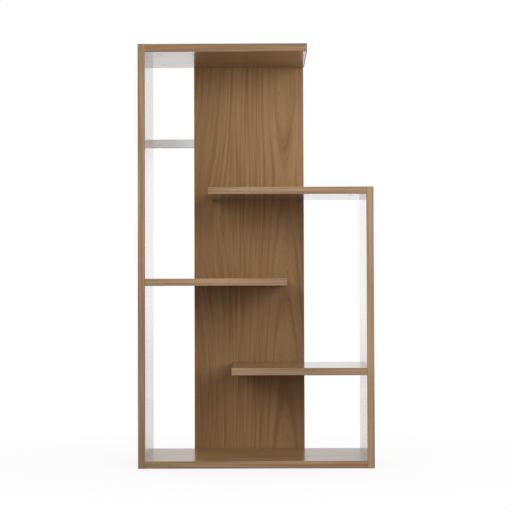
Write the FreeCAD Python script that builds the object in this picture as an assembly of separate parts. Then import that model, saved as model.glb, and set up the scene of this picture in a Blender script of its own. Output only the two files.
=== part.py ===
# Staircase bookshelf in faced board, in millimetres.
# A tall left side and a low right side carry a top, a bottom and three shelves. Each shelf has one
# free end, and an upright back panel stands behind all of them. +Z is up, the front faces -Y, and
# the origin lies on the floor under the middle of the bookshelf.

import FreeCAD, Part
import os
from collections import namedtuple
from FreeCAD import Rotation, Vector

# Driving dimensions: boards
width = 580.0                  # over the two side panels
left_height = 1044.0           # left side panel and back panel
right_height = 690.0           # right side panel, level with the upper shelf
depth = 220.0                  # side panels and shelves, front to rear edge
board = 18.0                   # thickness of every board but the top
top_board = 20.0               # thickness of the top panel
band = 2.0                     # thickness of an edge band
band_round = 1.5               # rounding along the outer edges of a band

# Driving dimensions: places of the shelves, with heights from the underside of the boards
back_offset = 126.0            # left side's outer face to the back panel
back_width = 290.0
top_overhang = 2.0             # top panel beyond the back panel's right edge
upper_shelf_inset = 47.0       # back panel's left edge to the upper shelf's free end
middle_shelf_inset = 49.0      # back panel's right edge to the middle shelf's free end
lower_shelf_inset = 104.0      # back panel's left edge to the lower shelf's free end
middle_shelf_top = 465.0
lower_shelf_top = 245.0
rail_drop = 190.0              # top panel's underside to the rail
rail_height = 21.5
rail_round = 1.0               # rounding along the rail's edges

# Driving dimensions: fits
fit_gap = 0.1                  # all round a fitting in its hole
end_gap = 1.0                  # past the end of a fitting in a blind hole
face_cover = 6.0               # board left behind a blind hole in its face

# Driving dimensions: cam connectors between the side panels and the shelves
cam_inset = 40.0               # front and rear edges to the nearest cam
cam_setback = 34.0             # shelf's end to the cam's axis
cam_diameter = 15.0
cam_reach = 5.0                # cam above the bolt's axis
cam_recess = 0.3               # cam's face inside the shelf's underside
cam_wall = 2.0                 # wall that the bolt's head pulls on
bolt_thread_diameter = 5.0
bolt_shank_diameter = 6.0
bolt_neck_diameter = 4.4
bolt_head_diameter = 7.0
bolt_head_length = 3.0
bolt_slack = 0.3               # bolt inside the cam's slot and chamber
bolt_hole_diameter = 8.0       # hole in the shelf's end
drive_length = 7.0             # cross recess in the cam's face
drive_width = 1.4
drive_depth = 2.5
cam_cap_diameter = 17.0
cam_cap_thickness = 0.15       # adhesive foil

# Driving dimensions: dowels
dowel_diameter = 8.0
dowel_length = 30.0
dowel_chamfer = 1.0
dowels_per_joint = 2
dowel_room = 16.0              # least space between a dowel and its neighbours
rail_dowel_diameter = 6.0

# Driving dimensions: connecting screws through the back panel
screw_inset = 36.0             # end of the overlap to the nearest screw
screw_diameter = 7.0
screw_length = 50.0
screw_tip_length = 4.0
screw_tip_diameter = 4.0
screw_head_diameter = 10.0
screw_head_length = 4.0
socket_width = 4.0             # across the flats of the hexagon
socket_depth = 3.0
screw_cap_diameter = 12.5
screw_cap_thickness = 1.0
screw_cap_chamfer = 0.5
screw_cap_slack = 0.5          # end of a cap's peg to the bottom of the socket

# Driving dimensions: floor glides
glide_height = 2.0
glide_margin = 1.0             # board's face to the rim of a glide
glide_chamfer = 0.5
glide_inset = 20.0             # end of the board's lower edge to a glide
nail_diameter = 1.8
nail_length = 12.0             # part of a nail in the board
nail_head_diameter = 5.0
nail_head_thickness = 0.6
nail_head_seat = 1.0           # nail head's seat above the floor

# Planes that the boards share
left_outer = -width / 2
right_outer = width / 2
left_inner = left_outer + board
right_inner = right_outer - board
overall_depth = depth + board + screw_cap_thickness
front_edge = -overall_depth / 2
rear_edge = front_edge + depth
back_face = rear_edge + board
base = glide_height
back_left = left_outer + back_offset
back_right = back_left + back_width
length_in_face = board - face_cover - end_gap    # part of a dowel or bolt in a board's face

Space = namedtuple("Space", "left right front rear bottom top")
opposite = dict(left="right", right="left", front="rear", rear="front", bottom="top", top="bottom")
right_way = Vector(1, 0, 0)
forward = Vector(0, -1, 0)
up = Vector(0, 0, 1)

boards = {}     # name of each board, edge band or rail: its solid before drilling
fittings = {}   # name of each group of fittings: its solids
drills = []     # solids that are taken out of the boards


def upright(left, height):
    """A side panel's space."""
    return Space(left, left + board, front_edge, rear_edge, base, base + height)


def level(left, right, top, thickness=board):
    """The space of a top, bottom or shelf whose upper face is at top."""
    return Space(left, right, front_edge, rear_edge, top - thickness, top)


left_side = upright(left_outer, left_height)
right_side = upright(right_inner, right_height)
top_panel = level(left_inner, back_right + top_overhang, left_side.top, top_board)
bottom_panel = level(left_inner, right_inner, base + board)
upper_shelf = level(back_left + upper_shelf_inset, right_inner, right_side.top)
middle_shelf = level(left_inner, back_right - middle_shelf_inset, base + middle_shelf_top)
lower_shelf = level(back_left + lower_shelf_inset, right_inner, base + lower_shelf_top)
back_panel = Space(back_left, back_right, rear_edge, back_face, base, left_side.top)
rail_top = top_panel.bottom - rail_drop
rail = Space(left_outer, back_left, rear_edge, back_face, rail_top - rail_height, rail_top)


def block(space):
    """The solid that fills a space."""
    corner = Vector(space.left, space.front, space.bottom)
    return Part.makeBox(space.right - space.left, space.rear - space.front,
                        space.top - space.bottom, corner)


def split(space, side):
    """The edge band along one side of a space, and the rest of the space."""
    inward = band if side in ("left", "front", "bottom") else -band
    seam = getattr(space, side) + inward
    return space._replace(**{opposite[side]: seam}), space._replace(**{side: seam})


def rounded_band(space, side):
    """An edge band whose two long outer edges are rounded."""
    strip = block(space)
    middle = strip.BoundBox.Center
    outward = {"left": -right_way, "right": right_way, "front": forward, "rear": -forward,
               "bottom": -up, "top": up}[side]
    longest = max(edge.Length for edge in strip.Edges)
    rims = [edge for edge in strip.Edges
            if edge.Length > longest - band and (edge.CenterOfMass - middle).dot(outward) > 0]
    return strip.makeFillet(min(band_round, 0.8 * band), rims)


def banded(name, space, sides):
    """A board with an edge band on each named side. The first bands run the full length."""
    for side in sides:
        strip, space = split(space, side)
        boards[f"{name}_{side}_edge_band"] = rounded_band(strip, side)
    boards[name] = block(space)


def rounded_rail():
    """The rail, with its four long edges rounded."""
    bar = block(rail)
    rims = [edge for edge in bar.Edges if edge.BoundBox.XLength > rail_round]
    return bar.makeFillet(rail_round, rims)


def rod(diameter, start, end):
    """A cylinder along +Z between two heights."""
    return Part.makeCylinder(diameter / 2, end - start, Vector(0, 0, start))


def placed(shape, point, direction):
    """A copy of a shape that was drawn along +Z, moved to a point and turned to a direction."""
    copy = shape.copy()
    copy.Placement = FreeCAD.Placement(point, Rotation(up, direction))
    return copy


def add(group, solid):
    fittings.setdefault(group, []).append(solid)


def hexagon(across_flats, start, end):
    """A hexagonal prism along +Z between two heights."""
    corners = [Rotation(up, 60 * turn).multVec(Vector(across_flats / 3 ** 0.5, 0, start))
               for turn in range(7)]
    return Part.Face(Part.makePolygon(corners)).extrude(up * (end - start))


def cross(length, arm, start, end):
    """Two crossed bars along +Z between two heights."""
    bars = [Part.makeBox(across, along, end - start, Vector(-across / 2, -along / 2, start))
            for across, along in ((length, arm), (arm, length))]
    return bars[0].fuse(bars[1]).removeSplitter()


def make_cam_bolt():
    """A cam bolt with its joint face at height 0, thread below and head above."""
    chamber_radius = cam_diameter / 2 - cam_wall
    head_reach = (chamber_radius ** 2 - (bolt_head_diameter / 2) ** 2) ** 0.5 - bolt_slack
    head_bottom = cam_setback - head_reach
    head_top = head_bottom + bolt_head_length
    shank_top = cam_setback - cam_diameter / 2 - bolt_slack
    bolt = rod(bolt_thread_diameter, -length_in_face, 0)
    bolt = bolt.fuse(rod(bolt_shank_diameter, 0, shank_top))
    bolt = bolt.fuse(rod(bolt_neck_diameter, shank_top, head_bottom))
    return bolt.fuse(rod(bolt_head_diameter, head_bottom, head_top))


def make_cam_disc():
    """A cam disc whose bolt comes in along +X at height 0, with a chamber for the bolt's head."""
    face = cam_recess - board / 2
    slot_height = bolt_neck_diameter + 2 * bolt_slack
    mouth = bolt_head_diameter + 2 * bolt_slack
    disc = rod(cam_diameter, face, cam_reach)
    chamber = rod(cam_diameter - 2 * cam_wall, -mouth / 2, mouth / 2)
    slot = Part.makeBox(cam_diameter, 2 * cam_diameter, slot_height,
                        Vector(0, -cam_diameter, -slot_height / 2))
    entry = placed(rod(mouth, 0, cam_diameter), Vector(0, 0, 0), forward)
    return disc.cut([chamber, slot, entry, cross(drive_length, drive_width, face, face + drive_depth)])


def make_cam_cap():
    """A round foil that is stuck over a cam disc. Height 0 is the bolt's axis."""
    underside = -board / 2
    return rod(cam_cap_diameter, underside - cam_cap_thickness, underside)


def make_dowel(diameter):
    """A dowel with its joint face at height 0, chamfered at both ends."""
    pin = rod(diameter, -length_in_face, dowel_length - length_in_face)
    rims = [edge for edge in pin.Edges if len(edge.Vertexes) == 1]
    return pin.makeChamfer(dowel_chamfer, rims)


def make_screw():
    """A connecting screw with its head's face at height 0 and its tip up."""
    shank_end = screw_length - screw_tip_length
    head = Part.makeCone(screw_head_diameter / 2, screw_diameter / 2, screw_head_length)
    tip = Part.makeCone(screw_diameter / 2, screw_tip_diameter / 2, screw_tip_length,
                        Vector(0, 0, shank_end))
    screw = head.fuse([rod(screw_diameter, screw_head_length, shank_end), tip])
    return screw.cut(hexagon(socket_width, 0, socket_depth))


def make_screw_cap():
    """A cap over a screw's head, with a peg for the hexagon socket."""
    disc = rod(screw_cap_diameter, -screw_cap_thickness, 0)
    rims = [edge for edge in disc.Edges
            if len(edge.Vertexes) == 1 and edge.CenterOfMass.z < -screw_cap_thickness / 2]
    disc = disc.makeChamfer(screw_cap_chamfer, rims)
    return disc.fuse(hexagon(socket_width - 2 * fit_gap, 0, socket_depth - screw_cap_slack))


def make_glide():
    """A floor glide that stands on height 0, with a sunk seat for its nail's head."""
    diameter = board - 2 * glide_margin
    disc = rod(diameter, 0, glide_height)
    rims = [edge for edge in disc.Edges
            if len(edge.Vertexes) == 1 and edge.CenterOfMass.z < glide_height / 2]
    disc = disc.makeChamfer(glide_chamfer, rims)
    seat = rod(nail_head_diameter + 2 * fit_gap, 0, nail_head_seat)
    return disc.cut([seat, rod(nail_diameter + 2 * fit_gap, 0, glide_height)])


def make_nail():
    """A glide's nail, from its sunk head up into the board."""
    head = rod(nail_head_diameter, nail_head_seat - nail_head_thickness, nail_head_seat)
    return head.fuse(rod(nail_diameter, nail_head_seat, glide_height + nail_length))


cam_bolt = make_cam_bolt()
bolt_hole = rod(bolt_thread_diameter + 2 * fit_gap, -length_in_face - end_gap, 0)
bolt_hole = bolt_hole.fuse(rod(bolt_hole_diameter, 0, cam_setback))
cam_disc = make_cam_disc()
cam_bore = rod(cam_diameter + 2 * fit_gap, -board / 2, cam_reach + fit_gap)
cam_cap = make_cam_cap()
screw = make_screw()
screw_hole = Part.makeCone(screw_head_diameter / 2 + fit_gap, screw_diameter / 2 + fit_gap,
                           screw_head_length)
screw_hole = screw_hole.fuse(rod(screw_diameter + 2 * fit_gap, screw_head_length,
                                 screw_length + end_gap))
screw_cap = make_screw_cap()
glide = make_glide()
nail = make_nail()
nail_hole = rod(nail_diameter + 2 * fit_gap, glide_height, glide_height + nail_length + end_gap)


def dowel_joint(group, diameter, point, direction):
    """A dowel across a joint, with the face of the first board behind it."""
    add(group, placed(make_dowel(diameter), point, direction))
    hole = rod(diameter + 2 * fit_gap, -length_in_face - end_gap,
               dowel_length - length_in_face + end_gap)
    drills.append(placed(hole, point, direction))


def between(first, last):
    """The places of a joint's dowels, evenly spaced between its two other fasteners."""
    count = max(0, min(dowels_per_joint, int((last - first) / dowel_room) - 1))
    step = (last - first) / (count + 1)
    return [first + step * (place + 1) for place in range(count)]


def cam_joint(shelf_name, shelf, side_name, inner_face, inward, capped):
    """Two cam connectors and the dowels between a shelf's end and a side panel's inner face."""
    axis = shelf.bottom + board / 2
    first = front_edge + cam_inset
    last = rear_edge - cam_inset
    for y in (first, last):
        point = Vector(inner_face, y, axis)
        add(f"{side_name}_cam_bolts", placed(cam_bolt, point, inward))
        drills.append(placed(bolt_hole, point, inward))
        turn = Rotation(up, 180 if inward == right_way else 0)
        seat = FreeCAD.Placement(point + inward * cam_setback, turn).Matrix
        add(f"{shelf_name}_cam_discs", cam_disc.transformed(seat))
        drills.append(cam_bore.transformed(seat))
        if capped:
            add(f"{shelf_name}_cam_caps", cam_cap.transformed(seat))
    for y in between(first, last):
        point = Vector(inner_face, y, axis)
        dowel_joint(f"{side_name}_dowels", dowel_diameter, point, inward)


def screw_joint(screws, caps, point):
    """A capped screw that goes forward from the back face."""
    add(screws, placed(screw, point, forward))
    add(caps, placed(screw_cap, point, forward))
    drills.append(placed(screw_hole, point, forward))


def back_joint(shelf):
    """Two screws and the dowels between the back panel and the rear edge of a shelf."""
    middle = (shelf.bottom + shelf.top) / 2
    first = max(shelf.left, back_panel.left) + screw_inset
    last = min(shelf.right, back_panel.right) - screw_inset
    for x in (first, last):
        screw_joint("back_panel_screws", "back_panel_screw_caps", Vector(x, back_face, middle))
    for x in between(first, last):
        dowel_joint("back_panel_dowels", dowel_diameter, Vector(x, rear_edge, middle), forward)


def rail_joints():
    """A screw into the left side's rear edge, and two dowels into the back panel's edge."""
    height = (rail.bottom + rail.top) / 2
    point = Vector(left_outer + board / 2, back_face, height)
    screw_joint("rail_screw", "rail_screw_cap", point)
    for lift in (-rail_height / 4, rail_height / 4):
        point = Vector(back_left, (rear_edge + back_face) / 2, height + lift)
        dowel_joint("rail_dowels", rail_dowel_diameter, point, -right_way)


def floor_glide(x, y):
    point = Vector(x, y, 0)
    add("floor_glides", placed(glide, point, up))
    add("glide_nails", placed(nail, point, up))
    drills.append(placed(nail_hole, point, up))


def drilled(solid):
    """A board with every hole that reaches into it."""
    tools = [drill for drill in drills
             if drill.BoundBox.intersect(solid.BoundBox) and drill.common(solid).Volume > 0]
    return solid.cut(tools) if tools else solid


banded("left_side_panel", left_side, ["front", "rear", "top"])
banded("right_side_panel", right_side, ["front", "rear", "top"])
banded("top_panel", top_panel, ["front", "rear", "right"])
banded("bottom_panel", bottom_panel, ["front", "rear"])
banded("upper_right_shelf", upper_shelf, ["front", "rear", "left"])
banded("middle_left_shelf", middle_shelf, ["front", "rear", "right"])
banded("lower_right_shelf", lower_shelf, ["front", "rear", "left"])
banded("back_panel", back_panel, ["left", "right", "top"])
boards["rear_rail"] = rounded_rail()

cam_joint("top_panel", top_panel, "left_side", left_inner, right_way, True)
cam_joint("middle_left_shelf", middle_shelf, "left_side", left_inner, right_way, True)
cam_joint("bottom_panel", bottom_panel, "left_side", left_inner, right_way, False)
cam_joint("upper_right_shelf", upper_shelf, "right_side", right_inner, -right_way, True)
cam_joint("lower_right_shelf", lower_shelf, "right_side", right_inner, -right_way, True)
cam_joint("bottom_panel", bottom_panel, "right_side", right_inner, -right_way, False)
for shelf in (top_panel, upper_shelf, middle_shelf, lower_shelf, bottom_panel):
    back_joint(shelf)
rail_joints()
for side in (left_side, right_side):
    for y in (front_edge + glide_inset, rear_edge - glide_inset):
        floor_glide((side.left + side.right) / 2, y)
for x in (back_left + glide_inset, back_right - glide_inset):
    floor_glide(x, (rear_edge + back_face) / 2)

os.makedirs("parts", exist_ok=True)
for name, solid in boards.items():
    drilled(solid).exportStep(f"parts/{name}.step")
for name, solids in fittings.items():
    Part.makeCompound(solids).exportStep(f"parts/{name}.step")
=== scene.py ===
"""Looks of the staircase bookshelf: oak-grain boards, edge bands, fittings, floor, light and camera.

Lengths are in metres. Each material works in object coordinates, which are the bookshelf's own frame.
"""

import math
from collections import namedtuple

import bpy
from mathutils import Matrix, Vector


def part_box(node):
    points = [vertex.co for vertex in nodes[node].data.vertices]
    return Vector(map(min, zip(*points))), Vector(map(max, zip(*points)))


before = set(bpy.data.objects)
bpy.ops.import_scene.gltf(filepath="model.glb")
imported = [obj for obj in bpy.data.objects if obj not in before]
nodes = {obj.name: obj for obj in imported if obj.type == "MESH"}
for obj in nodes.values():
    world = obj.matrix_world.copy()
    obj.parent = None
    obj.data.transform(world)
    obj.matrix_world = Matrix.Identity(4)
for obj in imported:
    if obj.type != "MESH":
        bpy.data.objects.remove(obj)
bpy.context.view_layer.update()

MM = 0.001
CAPPED = ["top_panel", "middle_left_shelf", "upper_right_shelf", "lower_right_shelf"]


class Ramp(namedtuple("Ramp", "low high start end", defaults=(0.0, 1.0))):
    """A smooth step from start to end while a value goes from low to high."""

    def moved(self, by):
        """The same step, so much further on."""
        return self._replace(low=self.low + by, high=self.high + by)


class Lines(namedtuple("Lines", "across along place detail", defaults=(2.0,))):
    """A noise drawn out along the grain: its scale across and along it, its own place and its detail."""


class Finish(namedtuple("Finish", "pores roughness spread rise sink relief")):
    """How dark pores are, how rough fibres are, and how far both stand out of the surface."""


class Bow(namedtuple("Bow", "amount crest length across")):
    """A sideways bow in the grain: how far, where along the board and how long, and where across it."""


# Camera, as fitted to the photograph
CAMERA_PLACE = Vector((0.0211, -2.9627, 0.4631))
CAMERA_YAW = -0.00718
CAMERA_PITCH = 0.02068
CAMERA_ROLL = -0.00312
FOCAL_PIXELS = 1158.8
IMAGE_PIXELS = 512
SENSOR_WIDTH = 36.0

# Studio: a white backdrop behind the bookshelf and a dim room on the camera's side
WHITE = (1, 1, 1, 1)
BACKDROP = 1.0
BEHIND = Ramp(-0.3, 0.3)                  # from the room to the backdrop, by a direction's y
REAR_LIGHT = 1.0                          # what the backdrop throws on the bookshelf
AMBIENT = 0.43                            # what the room throws on it
DIM_ROOM = 0.03                           # the room as reflections show it
GLOW = Ramp(0.08, 0.13, 1.15, 0.98)       # the backdrop as reflections show it, by a direction's z
FOOT = -0.08                              # a direction's z at the backdrop's foot
FOOT_GLOW = Ramp(0.0, 0.07, 0.85, 1.0)    # share of the glow that is left, by the distance from the foot
FLOOR_BEHIND = Ramp(-0.3, 0.1)            # from the room to the backdrop on the floor, by y
FLOOR_GLOW = 0.94                         # the floor as reflections show it
FLOOR_RADIUS = 1.6
FLOOR_CORNERS = 64
FLOOR_WHITE = 0.9                         # share of light that the floor gives back to the eye
FLOOR_BOUNCE = 0.26                       # share that it throws back on the bookshelf
SHADOW_OVAL = 2.0                         # how many times wider than deep the shadow's area is
SHADOW_FADE = Ramp(0.12, 0.7, 0.86, 1.0)  # share of plain white over the floor's shadow, by the distance

# Figure of a flat-sawn oak board: rings round a heart, a dark tongue above a crest and arches below it
RING_SPACING = 0.012
RING_SHARPNESS = 3.0                      # a higher one makes the dark lines thinner
RING_CHANGES = 70.0                       # scale of the noise that makes their distance uneven
RING_SWING = 0.0025                       # how far that noise moves them
HEART_DEPTH = 0.05                        # how far the rings' centre lies behind the face
FIRST_LINE = 0.003                        # how far the first dark line lies behind the face
STRAY = 0.0008                            # how far the grain strays sideways
TONGUE_TIP = 0.070                        # crest to the tip of the tongue, which points down the board
TONGUE_SLOPE = 0.24                       # how fast the tongue widens above its tip
TONGUE_WIDTH = 0.03                       # its half width where its sides run straight up
TONGUE_BEND = 0.01                        # how softly its sides turn straight
TONGUE_RISE = Ramp(-0.06, 0.12, 0.0, 0.006)  # how far the rings bend round it, by the height over its tip
ARCH_START = 0.02                         # crest to where the arches, which point up the board, begin
ARCH_SLOPE = 0.054                        # how fast they open downwards
ARCH_BEND = 0.05                          # how softly they set in
STRAIGHT = Bow(0.0, 0.0, 1.0, Ramp(0.0, 1.0))
LEFT_BOW = Bow(0.05, 0.62, 0.26, Ramp(-0.03, -0.15))

# Noises of the grain
NOISE_MIDDLE = 0.5
NOISE_REACH = 0.25                        # how far most of a noise lies from its middle
SIDE_CHANGE = 50.0                        # keeps the heart's two sides from mirroring each other
BOARD_SEEDS = 97
BAND_SEEDS = 89
WANDER = Lines(7.0, 2.0, 9.0)
PATCHES = Lines(16.0, 3.0, 20.0)
STREAKS = Lines(260.0, 3.5, 30.0)
BOARD_FIBRES = Lines(900.0, 14.0, 1.0, 3.0)
BOARD_PORES = Lines(1500.0, 55.0, 4.0, 1.0)
BOARD_FINE = Lines(190.0, 4.0, 6.0)
BOARD_BROAD = Lines(60.0, 3.0, 11.0)
BAND_FIBRES = Lines(900.0, 14.0, 0.0, 3.0)
BAND_PORES = Lines(1500.0, 55.0, 3.0, 1.0)
BAND_FINE = Lines(230.0, 4.0, 12.0, 1.0)
BAND_BROAD = Lines(60.0, 2.5, 6.0)
PORE_EDGE = Ramp(0.62, 0.74)              # noise at which a pore begins and is full

# Tones, which add up to a place between the dark colour at 0 and the light one at 1
PLAIN_TONE = Ramp(0.03, 0.08, 0.71, 0.51)    # by the distance from the heart
RING_TONE = Ramp(0.02, 0.08, -0.62, -0.20)   # by the same distance
RING_PATCHES = Ramp(0.3, 0.7, 0.4, 1.0)      # share of a ring that shows, by the patches
RING_INSIDE = Ramp(-0.002, 0.002, 1.0, 0.1)  # share of it by the distance inside the tongue's sides
STREAK_TONE = Ramp(0.02, 0.08, 0.10, 0.40)   # by the distance from the heart
STREAK_FADE = Ramp(0.13, 0.19, 1.0, 0.7)     # share of it that is left, by the same distance
TONGUE_TONE = -0.52
TONGUE_EDGE = Ramp(-0.001, 0.001)            # share of it by the distance inside the tongue's sides
TONGUE_CORE = Ramp(0.001, 0.014, 1.0, 0.3)   # share of it that is left further inside
TONGUE_FADE = Ramp(0.03, 0.13, 1.0, 0.5)     # share of it that is left, by the height over the tip
BOARD_FINE_TONE = 0.14
BOARD_BROAD_TONE = 0.07
BOARD_FIBRE_TONE = 0.10
BAND_FINE_TONE = 0.65
BAND_BROAD_TONE = 0.25
BAND_FIBRE_TONE = 0.12
BAND_TONE = 0.5                              # the mean tone of most bands
# Painted light and shade: right side's band lighter, left's and top's darker, top's end a painted dark rim
LIGHT_SHADE_TONES = {"left_side_panel_front_edge_band": 0.40, "top_panel_front_edge_band": 0.14,
             "right_side_panel_front_edge_band": 0.74, "top_panel_right_edge_band": -0.3}

# Clear resin over the printed grain
RESIN_IOR = 1.30                          # on a board or band, unless another is named
GLOSSY_IOR = 1.70                         # on the boards that mirror the backdrop most
TOP_IOR = 1.45                            # on the top
DULL_IOR = 1.0                            # mirrors nothing
DULL_BANDS = ["top_panel_right_edge_band"]  # shows as a dark rim in the photograph
RELIEF_DEPTH = 0.2 * MM
BOARD_FINISH = Finish(pores=0.30, roughness=0.26, spread=0.10, rise=0.4, sink=-0.6, relief=0.01)
BAND_FINISH = Finish(pores=0.25, roughness=0.30, spread=0.12, rise=0.5, sink=-0.5, relief=0.06)

# Other materials
FACES_DOWN = -0.9                         # z of the normal below which a face looks down
CHIP_EDGE = Ramp(0.38, 0.62)              # from a dark chip to a pale one
BEECH_FLECK = Ramp(0.6, 0.75, 0.0, 0.4)   # noise at which a fleck begins and is full
MARKS_ALONG = 180.0                       # scale of the marks on metal along their axis
MARKS_ACROSS = 2600.0                     # and across it

# Colours, as sRGB from 0 to 255
OAK_LIGHT = (178, 140, 99)
OAK_DARK = (138, 104, 69)
OAK_PORE = (104, 74, 48)
BAND_LIGHT = (184, 153, 121)
BAND_DARK = (148, 118, 91)
CHIPBOARD_LIGHT = (196, 168, 128)
CHIPBOARD_DARK = (138, 106, 70)
RAIL_GREY = (246, 252, 255)
ZINC = (176, 178, 180)
STEEL = (190, 192, 195)
BEECH_LIGHT = (216, 184, 142)
BEECH_DARK = (188, 152, 110)
CAP_BROWN = (192, 160, 122)
GLIDE_BROWN = (88, 70, 54)


def linear(colour, share=1.0):
    """An sRGB colour from 0 to 255 as linear RGBA, darkened to a share of its light."""
    parts = [c / 255 for c in colour]
    return [share * (p / 12.92 if p <= 0.04045 else ((p + 0.055) / 1.055) ** 2.4) for p in parts] + [1.0]


class Nodes:
    """A node tree. Any input takes a plain value or another node's socket."""

    def __init__(self, tree):
        self.tree = tree

    def node(self, kind, inputs=None, **settings):
        made = self.tree.nodes.new(kind)
        for key, value in settings.items():
            setattr(made, key, value)
        for key, value in (inputs or {}).items():
            self.feed(made.inputs[key], value)
        return made

    def feed(self, socket, value):
        if isinstance(value, bpy.types.NodeSocket):
            self.tree.links.new(value, socket)
        else:
            socket.default_value = value

    def math(self, operation, *values):
        return self.node("ShaderNodeMath", dict(enumerate(values)), operation=operation).outputs[0]

    def add(self, *values):
        total = values[0]
        for value in values[1:]:
            total = self.math("ADD", total, value)
        return total

    def times(self, *values):
        product = values[0]
        for value in values[1:]:
            product = self.math("MULTIPLY", product, value)
        return product

    def ramp(self, value, step):
        """What a Ramp makes of a value."""
        inputs = {"Value": value, "From Min": step.low, "From Max": step.high}
        inputs.update({"To Min": step.start, "To Max": step.end})
        return self.node("ShaderNodeMapRange", inputs, interpolation_type="SMOOTHSTEP").outputs[0]

    def between(self, factor, first, second):
        """The first value where the factor is 0, and the second where it is 1."""
        return self.ramp(factor, Ramp(0.0, 1.0, first, second))

    def vector(self, x, y, z):
        return self.node("ShaderNodeCombineXYZ", {0: x, 1: y, 2: z}).outputs[0]

    def split(self, vector):
        """The x, y and z of a vector."""
        return list(self.node("ShaderNodeSeparateXYZ", {0: vector}).outputs)

    def coordinate(self, name):
        return self.node("ShaderNodeTexCoord").outputs[name]

    def blend(self, factor, first, second):
        """Two shaders mixed."""
        return self.node("ShaderNodeMixShader", {0: factor, 1: first.outputs[0], 2: second.outputs[0]})


class Paint(Nodes):
    """The nodes of one material."""

    def __init__(self, name):
        self.material = bpy.data.materials.new(name)
        self.material.use_nodes = True
        super().__init__(self.material.node_tree)
        self.shader = self.tree.nodes["Principled BSDF"]
        self.place = self.coordinate("Object")
        self.axis = dict(zip("xyz", self.split(self.place)))

    def surface(self, **inputs):
        """Sets the shader's own inputs. An underscore in a name stands for a space."""
        for key, value in inputs.items():
            self.feed(self.shader.inputs[key.replace("_", " ")], value)

    def noise(self, vector, scale=1.0, detail=2.0, roughness=0.5):
        inputs = {"Vector": vector, "Scale": scale, "Detail": detail, "Roughness": roughness}
        return self.node("ShaderNodeTexNoise", inputs).outputs["Fac"]

    def lines(self, across, along, kind, place):
        """A noise of a kind of Lines, from the distances across and along the grain."""
        point = self.vector(self.times(across, kind.across), self.times(along, kind.along), place)
        return self.noise(point, detail=kind.detail)

    def swing(self, noise, amount):
        """A noise as a value that swings by about amount either way."""
        return self.times(self.add(noise, -NOISE_MIDDLE), amount / NOISE_REACH)

    def varied(self, least, noise, spread):
        """A value of at least so much, to which a noise adds up to spread."""
        return self.add(least, self.times(noise, spread))

    def mix(self, factor, first, second):
        made = self.node("ShaderNodeMix", data_type="RGBA")
        self.feed(made.inputs["Factor"], factor)
        self.feed(made.inputs[6], first)
        self.feed(made.inputs[7], second)
        return made.outputs[2]

    def clouded(self, noise, colour, share):
        """A colour that falls to a share of its light as a noise falls to 0."""
        return self.mix(noise, linear(colour, share), linear(colour))

    def bump(self, height, strength, distance):
        inputs = {"Height": height, "Strength": strength, "Distance": distance}
        self.feed(self.shader.inputs["Normal"], self.node("ShaderNodeBump", inputs).outputs[0])


def dress(material, *names):
    """Gives a material to CAD nodes."""
    for name in names:
        for slot in nodes[name].material_slots:
            slot.material = material


def seed_from(name, seeds):
    """One of so many numbers, by a name's letters."""
    return float(sum(map(ord, name)) % seeds)


def figure(paint, along, across, seed, heart, crest, bow):
    """Each point's offset from the heart, depth in the rings and distance inside the tongue's sides.

    Lines of even depth bend round the tongue above the crest, form arches below it and are straight
    beside it.
    """
    wander = paint.lines(across, along, WANDER, seed + WANDER.place)
    reach = paint.math("DIVIDE", paint.add(along, -bow.crest), bow.length)
    bulge = paint.math("POWER", math.e, paint.times(reach, reach, -1.0))
    bent = paint.times(bulge, paint.ramp(across, bow.across), bow.amount)
    offset = paint.add(across, -heart, paint.swing(wander, STRAY), bent)
    round_heart = paint.math("SQRT", paint.add(paint.times(offset, offset), HEART_DEPTH ** 2))
    tip = crest + TONGUE_TIP
    widening = paint.times(paint.add(along, -tip), TONGUE_SLOPE)
    side = paint.math("SMOOTH_MIN", widening, TONGUE_WIDTH, TONGUE_BEND)
    inside = paint.math("SUBTRACT", side, paint.math("ABSOLUTE", offset))
    rise = paint.ramp(along, TONGUE_RISE.moved(tip))
    below = paint.math("SMOOTH_MAX", paint.math("SUBTRACT", crest - ARCH_START, along), 0.0, ARCH_BEND)
    opening = paint.add(rise, paint.times(below, ARCH_SLOPE))
    return offset, paint.math("SUBTRACT", round_heart, opening), inside


def ring_lines(paint, depth, seed):
    """Dark lines where growth rings end, of uneven width and distance."""
    inputs = {"W": paint.add(depth, seed), "Scale": RING_CHANGES, "Detail": 1.0}
    uneven = paint.node("ShaderNodeTexNoise", inputs, noise_dimensions="1D").outputs["Fac"]
    moved = paint.add(depth, paint.swing(uneven, RING_SWING), FIRST_LINE - HEART_DEPTH)
    phase = paint.times(moved, 2 * math.pi / RING_SPACING)
    wave = paint.add(paint.times(paint.math("COSINE", phase), 0.5), 0.5)
    return paint.math("POWER", wave, RING_SHARPNESS)


def printed_oak(paint, tone, dark, light, fibres, pores, finish):
    """The colour of a grain, whose fibres and pores also give the surface its roughness and relief."""
    paint.surface(Roughness=paint.varied(finish.roughness, fibres, finish.spread))
    height = paint.add(paint.times(fibres, finish.rise), paint.times(pores, finish.sink))
    paint.bump(height, finish.relief, RELIEF_DEPTH)
    wood = paint.mix(tone, linear(dark), linear(light))
    return paint.mix(paint.times(pores, finish.pores), wood, linear(OAK_PORE))


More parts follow.
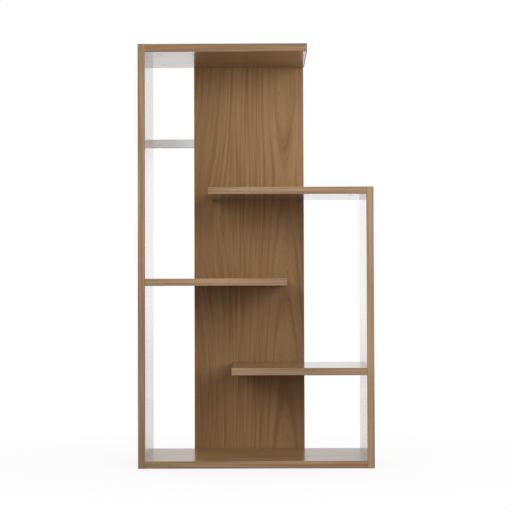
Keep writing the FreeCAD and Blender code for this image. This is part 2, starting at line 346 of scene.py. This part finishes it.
def oak_board(name, along, across, heart, crest, bow=STRAIGHT, coat=1.0, ior=RESIN_IOR, painted_shade=0.0):
    """Satin faced board with a printed oak grain. A raw lower edge shows its chipboard."""
    paint = Paint("oak_" + name)
    seed = seed_from(name, BOARD_SEEDS)
    length, breadth = paint.axis[along], paint.axis[across]
    offset, depth, inside = figure(paint, length, breadth, seed, heart, crest, bow)
    away = paint.math("ABSOLUTE", offset)

    def lines(kind):
        """A noise drawn out along the rings."""
        place = paint.add(paint.times(offset, SIDE_CHANGE), seed + kind.place)
        return paint.lines(depth, length, kind, place)

    fibres = lines(BOARD_FIBRES)
    pores = paint.ramp(lines(BOARD_PORES), PORE_EDGE)
    streaks = paint.lines(offset, length, STREAKS, seed + STREAKS.place)
    patches = paint.lines(breadth, length, PATCHES, seed + PATCHES.place)
    rings = paint.times(
        ring_lines(paint, depth, seed),
        paint.ramp(patches, RING_PATCHES),
        paint.ramp(inside, RING_INSIDE))
    tongue = paint.times(
        paint.ramp(inside, TONGUE_EDGE),
        paint.ramp(inside, TONGUE_CORE),
        paint.ramp(length, TONGUE_FADE.moved(crest + TONGUE_TIP)))
    streak_tone = paint.ramp(away, STREAK_TONE)
    # The first tone below is painted shade, which darkens the whole board
    tone = paint.add(
        painted_shade,
        paint.ramp(away, PLAIN_TONE),
        paint.times(tongue, TONGUE_TONE),
        paint.times(rings, paint.ramp(away, RING_TONE)),
        paint.times(paint.swing(streaks, 1.0), streak_tone, paint.ramp(away, STREAK_FADE)),
        paint.swing(lines(BOARD_FINE), BOARD_FINE_TONE),
        paint.swing(lines(BOARD_BROAD), BOARD_BROAD_TONE),
        paint.swing(fibres, BOARD_FIBRE_TONE))
    wood = printed_oak(paint, tone, OAK_DARK, OAK_LIGHT, fibres, pores, BOARD_FINISH)
    if along == "z":
        wood = paint.mix(faces_down(paint), wood, chipboard(paint))
    paint.surface(Base_Color=wood, IOR=ior, Coat_Weight=coat, Coat_IOR=ior, Coat_Roughness=0.08)
    return paint.material


def faces_down(paint):
    """1 on a face that looks down, and 0 elsewhere."""
    facing = paint.node("ShaderNodeNewGeometry").outputs["Normal"]
    return paint.math("LESS_THAN", paint.split(facing)[2], FACES_DOWN)


def chipboard(paint):
    """Pressed chips of pale and dark wood."""
    chips = paint.noise(paint.place, scale=260.0, roughness=0.7)
    return paint.mix(paint.ramp(chips, CHIP_EDGE), linear(CHIPBOARD_DARK), linear(CHIPBOARD_LIGHT))


def edge_band(name, along, across, tone, ior):
    """Edge band with grain lines along it."""
    paint = Paint("band_" + name)
    seed = seed_from(name, BAND_SEEDS)
    length, breadth = paint.axis[along], paint.axis[across]

    def lines(kind):
        return paint.lines(breadth, length, kind, seed + kind.place)

    fibres = lines(BAND_FIBRES)
    pores = paint.ramp(lines(BAND_PORES), PORE_EDGE)
    grain = paint.add(
        tone,
        paint.swing(lines(BAND_FINE), BAND_FINE_TONE),
        paint.swing(lines(BAND_BROAD), BAND_BROAD_TONE),
        paint.swing(fibres, BAND_FIBRE_TONE))
    wood = printed_oak(paint, grain, BAND_DARK, BAND_LIGHT, fibres, pores, BAND_FINISH)
    paint.surface(Base_Color=wood, IOR=ior)
    return paint.material


def grey_foil():
    """Pale grey foil with a faint orange-peel surface."""
    paint = Paint("grey_foil")
    peel = paint.noise(paint.place, scale=700.0, detail=3.0)
    cloud = paint.noise(paint.place, scale=18.0, detail=3.0)
    paint.surface(
        Base_Color=paint.clouded(cloud, RAIL_GREY, share=0.93),
        Roughness=paint.varied(0.34, peel, spread=0.1))
    paint.bump(peel, strength=0.05, distance=0.1 * MM)
    return paint.material


def metal(name, colour, streak_axis, roughness):
    """Plated or cast metal with fine marks along one axis and duller blotches."""
    paint = Paint(name)
    scales = {axis: MARKS_ALONG if axis == streak_axis else MARKS_ACROSS for axis in "xyz"}
    marks = paint.noise(paint.vector(*(paint.times(paint.axis[axis], scales[axis]) for axis in "xyz")))
    blotch = paint.noise(paint.place, scale=420.0, detail=3.0)
    paint.surface(
        Base_Color=paint.clouded(blotch, colour, share=0.78),
        Metallic=1.0,
        Roughness=paint.varied(roughness, marks, spread=0.14))
    paint.bump(marks, strength=0.08, distance=0.05 * MM)
    return paint.material


def beech():
    """Raw beech with short flecks, as dowels are turned from."""
    paint = Paint("beech")
    flecks = paint.noise(paint.place, scale=900.0)
    cloud = paint.noise(paint.place, scale=60.0, detail=3.0)
    wood = paint.mix(cloud, linear(BEECH_DARK), linear(BEECH_LIGHT))
    paint.surface(
        Base_Color=paint.mix(paint.ramp(flecks, BEECH_FLECK), wood, linear(BEECH_DARK)),
        Roughness=paint.varied(0.55, flecks, spread=0.15))
    paint.bump(flecks, strength=0.15, distance=0.1 * MM)
    return paint.material


def plastic(name, colour, roughness):
    """Moulded plastic with a fine spark-eroded texture and slight clouds."""
    paint = Paint(name)
    texture = paint.noise(paint.place, scale=2200.0)
    cloud = paint.noise(paint.place, scale=90.0)
    paint.surface(
        Base_Color=paint.clouded(cloud, colour, share=0.86),
        Roughness=paint.varied(roughness, texture, spread=0.12))
    paint.bump(texture, strength=0.10, distance=0.05 * MM)
    return paint.material


def dress_boards():
    """Grain runs up the sides and the back panel, and along the shelves."""
    dress(oak_board("left_side", "z", "y", heart=0.02, crest=0.42, ior=GLOSSY_IOR), "left_side_panel")
    dress(oak_board("right_side", "z", "y", heart=-0.05, crest=0.30, ior=GLOSSY_IOR), "right_side_panel")
    dress(oak_board("back", "z", "x", heart=0.076, crest=0.72, bow=LEFT_BOW), "back_panel")
    # The top is darkened all over as painted shade, for the shade under it
    dress(oak_board("top", "x", "y", heart=0.03, crest=-0.15, ior=TOP_IOR, painted_shade=-0.25), "top_panel")
    dress(oak_board("bottom", "x", "y", heart=-0.04, crest=0.10, coat=0.55), "bottom_panel")
    dress(oak_board("upper", "x", "y", heart=-0.02, crest=0.02, ior=GLOSSY_IOR), "upper_right_shelf")
    dress(oak_board("middle", "x", "y", heart=0.05, crest=-0.20, coat=0.9), "middle_left_shelf")
    dress(oak_board("lower", "x", "y", heart=0.00, crest=0.20, coat=0.75), "lower_right_shelf")
    dress(oak_board("foil", "x", "y", heart=0.10, crest=0.40), *(f"{name}_cam_caps" for name in CAPPED))


def dress_bands():
    """Each band's grain runs along its longest side, and its width is its middle size."""
    for name in nodes:
        if not name.endswith("_edge_band"):
            continue
        low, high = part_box(name)
        size = high - low
        across, along = sorted(range(3), key=lambda axis: size[axis])[1:]
        # a few bands take a tone with painted light or shade in it
        tone = LIGHT_SHADE_TONES.get(name, BAND_TONE)
        ior = DULL_IOR if name in DULL_BANDS else RESIN_IOR
        dress(edge_band(name, "xyz"[along], "xyz"[across], tone, ior), name)


def dress_fittings():
    """The rail's foil, and metal, dowels, caps and glides."""
    cams = [f"{name}_cam_discs" for name in CAPPED + ["bottom_panel"]]
    dress(grey_foil(), "rear_rail")
    dress(metal("cast_zinc", ZINC, "z", roughness=0.36), *cams)
    dress(metal("plated_bolts", STEEL, "x", roughness=0.24), "left_side_cam_bolts", "right_side_cam_bolts")
    dress(metal("plated_screws", STEEL, "y", roughness=0.24), "back_panel_screws", "rail_screw")
    dress(metal("plated_nails", STEEL, "z", roughness=0.30), "glide_nails")
    dress(beech(), "left_side_dowels", "right_side_dowels", "back_panel_dowels", "rail_dowels")
    dress(plastic("brown_cap", CAP_BROWN, roughness=0.40), "back_panel_screw_caps")
    dress(plastic("grey_cap", RAIL_GREY, roughness=0.40), "rail_screw_cap")
    dress(plastic("glide", GLIDE_BROWN, roughness=0.45), "floor_glides")


class Studio(Nodes):
    """The nodes of the world or the floor, which show white to the camera."""

    def __init__(self, tree):
        super().__init__(tree)
        path = self.node("ShaderNodeLightPath").outputs
        self.camera = path["Is Camera Ray"]
        mirrored = self.math("MAXIMUM", path["Is Glossy Ray"], path["Is Transmission Ray"])
        self.seen = self.math("MAXIMUM", self.camera, mirrored)

    def shade(self, behind, glow):
        """How bright the studio looks: white to the camera, and in reflections dim where behind is 0."""
        mirrored = self.times(self.between(behind, DIM_ROOM, BACKDROP), glow)
        return self.between(self.camera, mirrored, BACKDROP)


def make_world():
    """The backdrop and the room, as they look and as they light the bookshelf."""
    world = bpy.data.worlds.new("studio")
    bpy.context.scene.world = world
    world.use_nodes = True
    studio = Studio(world.node_tree)
    y, z = studio.split(studio.coordinate("Generated"))[1:]
    behind = studio.ramp(y, BEHIND)
    from_foot = studio.math("ABSOLUTE", studio.add(z, -FOOT))
    glow = studio.times(studio.ramp(z, GLOW), studio.ramp(from_foot, FOOT_GLOW))
    light = world.node_tree.nodes["Background"]
    studio.feed(light.inputs["Color"], WHITE)
    studio.feed(light.inputs["Strength"], studio.between(behind, AMBIENT, REAR_LIGHT * BACKDROP))
    look = studio.node("ShaderNodeBackground", {"Color": WHITE, "Strength": studio.shade(behind, glow)})
    choice = studio.blend(studio.seen, light, look)
    studio.feed(world.node_tree.nodes["World Output"].inputs["Surface"], choice.outputs[0])


def floor_paint():
    """A pale matt coat. The eye sees white over it, thinner near the bookshelf, whose shadow shows there."""
    material = bpy.data.materials.new("floor")
    material.use_nodes = True
    studio = Studio(material.node_tree)
    coat = material.node_tree.nodes["Principled BSDF"]
    studio.feed(coat.inputs["Base Color"], studio.between(studio.camera, FLOOR_BOUNCE, FLOOR_WHITE))
    studio.feed(coat.inputs["Roughness"], 0.9)
    studio.feed(coat.inputs["Specular IOR Level"], 0.0)
    x, y = studio.split(studio.coordinate("Object"))[:2]
    beside = studio.times(x, 1 / SHADOW_OVAL)
    away = studio.math("SQRT", studio.add(studio.times(beside, beside), studio.times(y, y)))
    shade = studio.shade(studio.ramp(y, FLOOR_BEHIND), FLOOR_GLOW)
    white = studio.node("ShaderNodeEmission", {"Strength": shade})
    choice = studio.blend(studio.times(studio.seen, studio.ramp(away, SHADOW_FADE)), coat, white)
    studio.feed(material.node_tree.nodes["Material Output"].inputs["Surface"], choice.outputs[0])
    return material


def make_floor():
    """A round pale floor that reads as white and keeps a soft shadow close to the bookshelf."""
    turns = [2 * math.pi * corner / FLOOR_CORNERS for corner in range(FLOOR_CORNERS)]
    rim = [(FLOOR_RADIUS * math.cos(turn), FLOOR_RADIUS * math.sin(turn), 0.0) for turn in turns]
    mesh = bpy.data.meshes.new("floor")
    mesh.from_pydata(rim, [], [list(range(FLOOR_CORNERS))])
    mesh.materials.append(floor_paint())
    floor = bpy.data.objects.new("floor", mesh)
    bpy.context.scene.collection.objects.link(floor)


def softbox(name, place, aim, size, watts, spread):
    """An area light that is aimed at a point, is narrowed to a spread and doesn't show in reflections."""
    lamp = bpy.data.lights.new(name, "AREA")
    lamp.shape = "RECTANGLE"
    lamp.size, lamp.size_y = size
    lamp.energy = watts
    lamp.spread = math.radians(spread)
    box = bpy.data.objects.new(name, lamp)
    box.location = place
    box.rotation_euler = (Vector(aim) - Vector(place)).to_track_quat("-Z", "Y").to_euler()
    box.visible_glossy = False
    bpy.context.scene.collection.objects.link(box)


def make_lights():
    """Two wide softboxes in front, the right one stronger, and one beside the bookshelf."""
    softbox("left", place=(-1.2, -1.6, 1.4), aim=(-0.1, 0.0, 0.6), size=(1.2, 1.2), watts=4.0, spread=100)
    softbox("right", place=(1.4, -1.8, 1.1), aim=(0.3, 0.0, 0.6), size=(1.4, 1.4), watts=9.4, spread=110)
    softbox("side", place=(2.2, -0.4, 0.8), aim=(0.0, 0.0, 0.55), size=(1.0, 1.4), watts=9.4, spread=180)


def make_camera():
    """The photograph's camera."""
    lens = bpy.data.cameras.new("camera")
    lens.sensor_width = SENSOR_WIDTH
    lens.lens = FOCAL_PIXELS / IMAGE_PIXELS * SENSOR_WIDTH
    camera = bpy.data.objects.new("camera", lens)
    turn = (Matrix.Rotation(-CAMERA_YAW, 4, "Z")
            @ Matrix.Rotation(math.pi / 2 + CAMERA_PITCH, 4, "X")
            @ Matrix.Rotation(CAMERA_ROLL, 4, "Z"))
    camera.matrix_world = Matrix.Translation(CAMERA_PLACE) @ turn
    bpy.context.scene.collection.objects.link(camera)
    bpy.context.scene.camera = camera


dress_boards()
dress_bands()
dress_fittings()
make_world()
make_floor()
make_lights()
make_camera()
bpy.context.scene.view_settings.view_transform = "Standard"
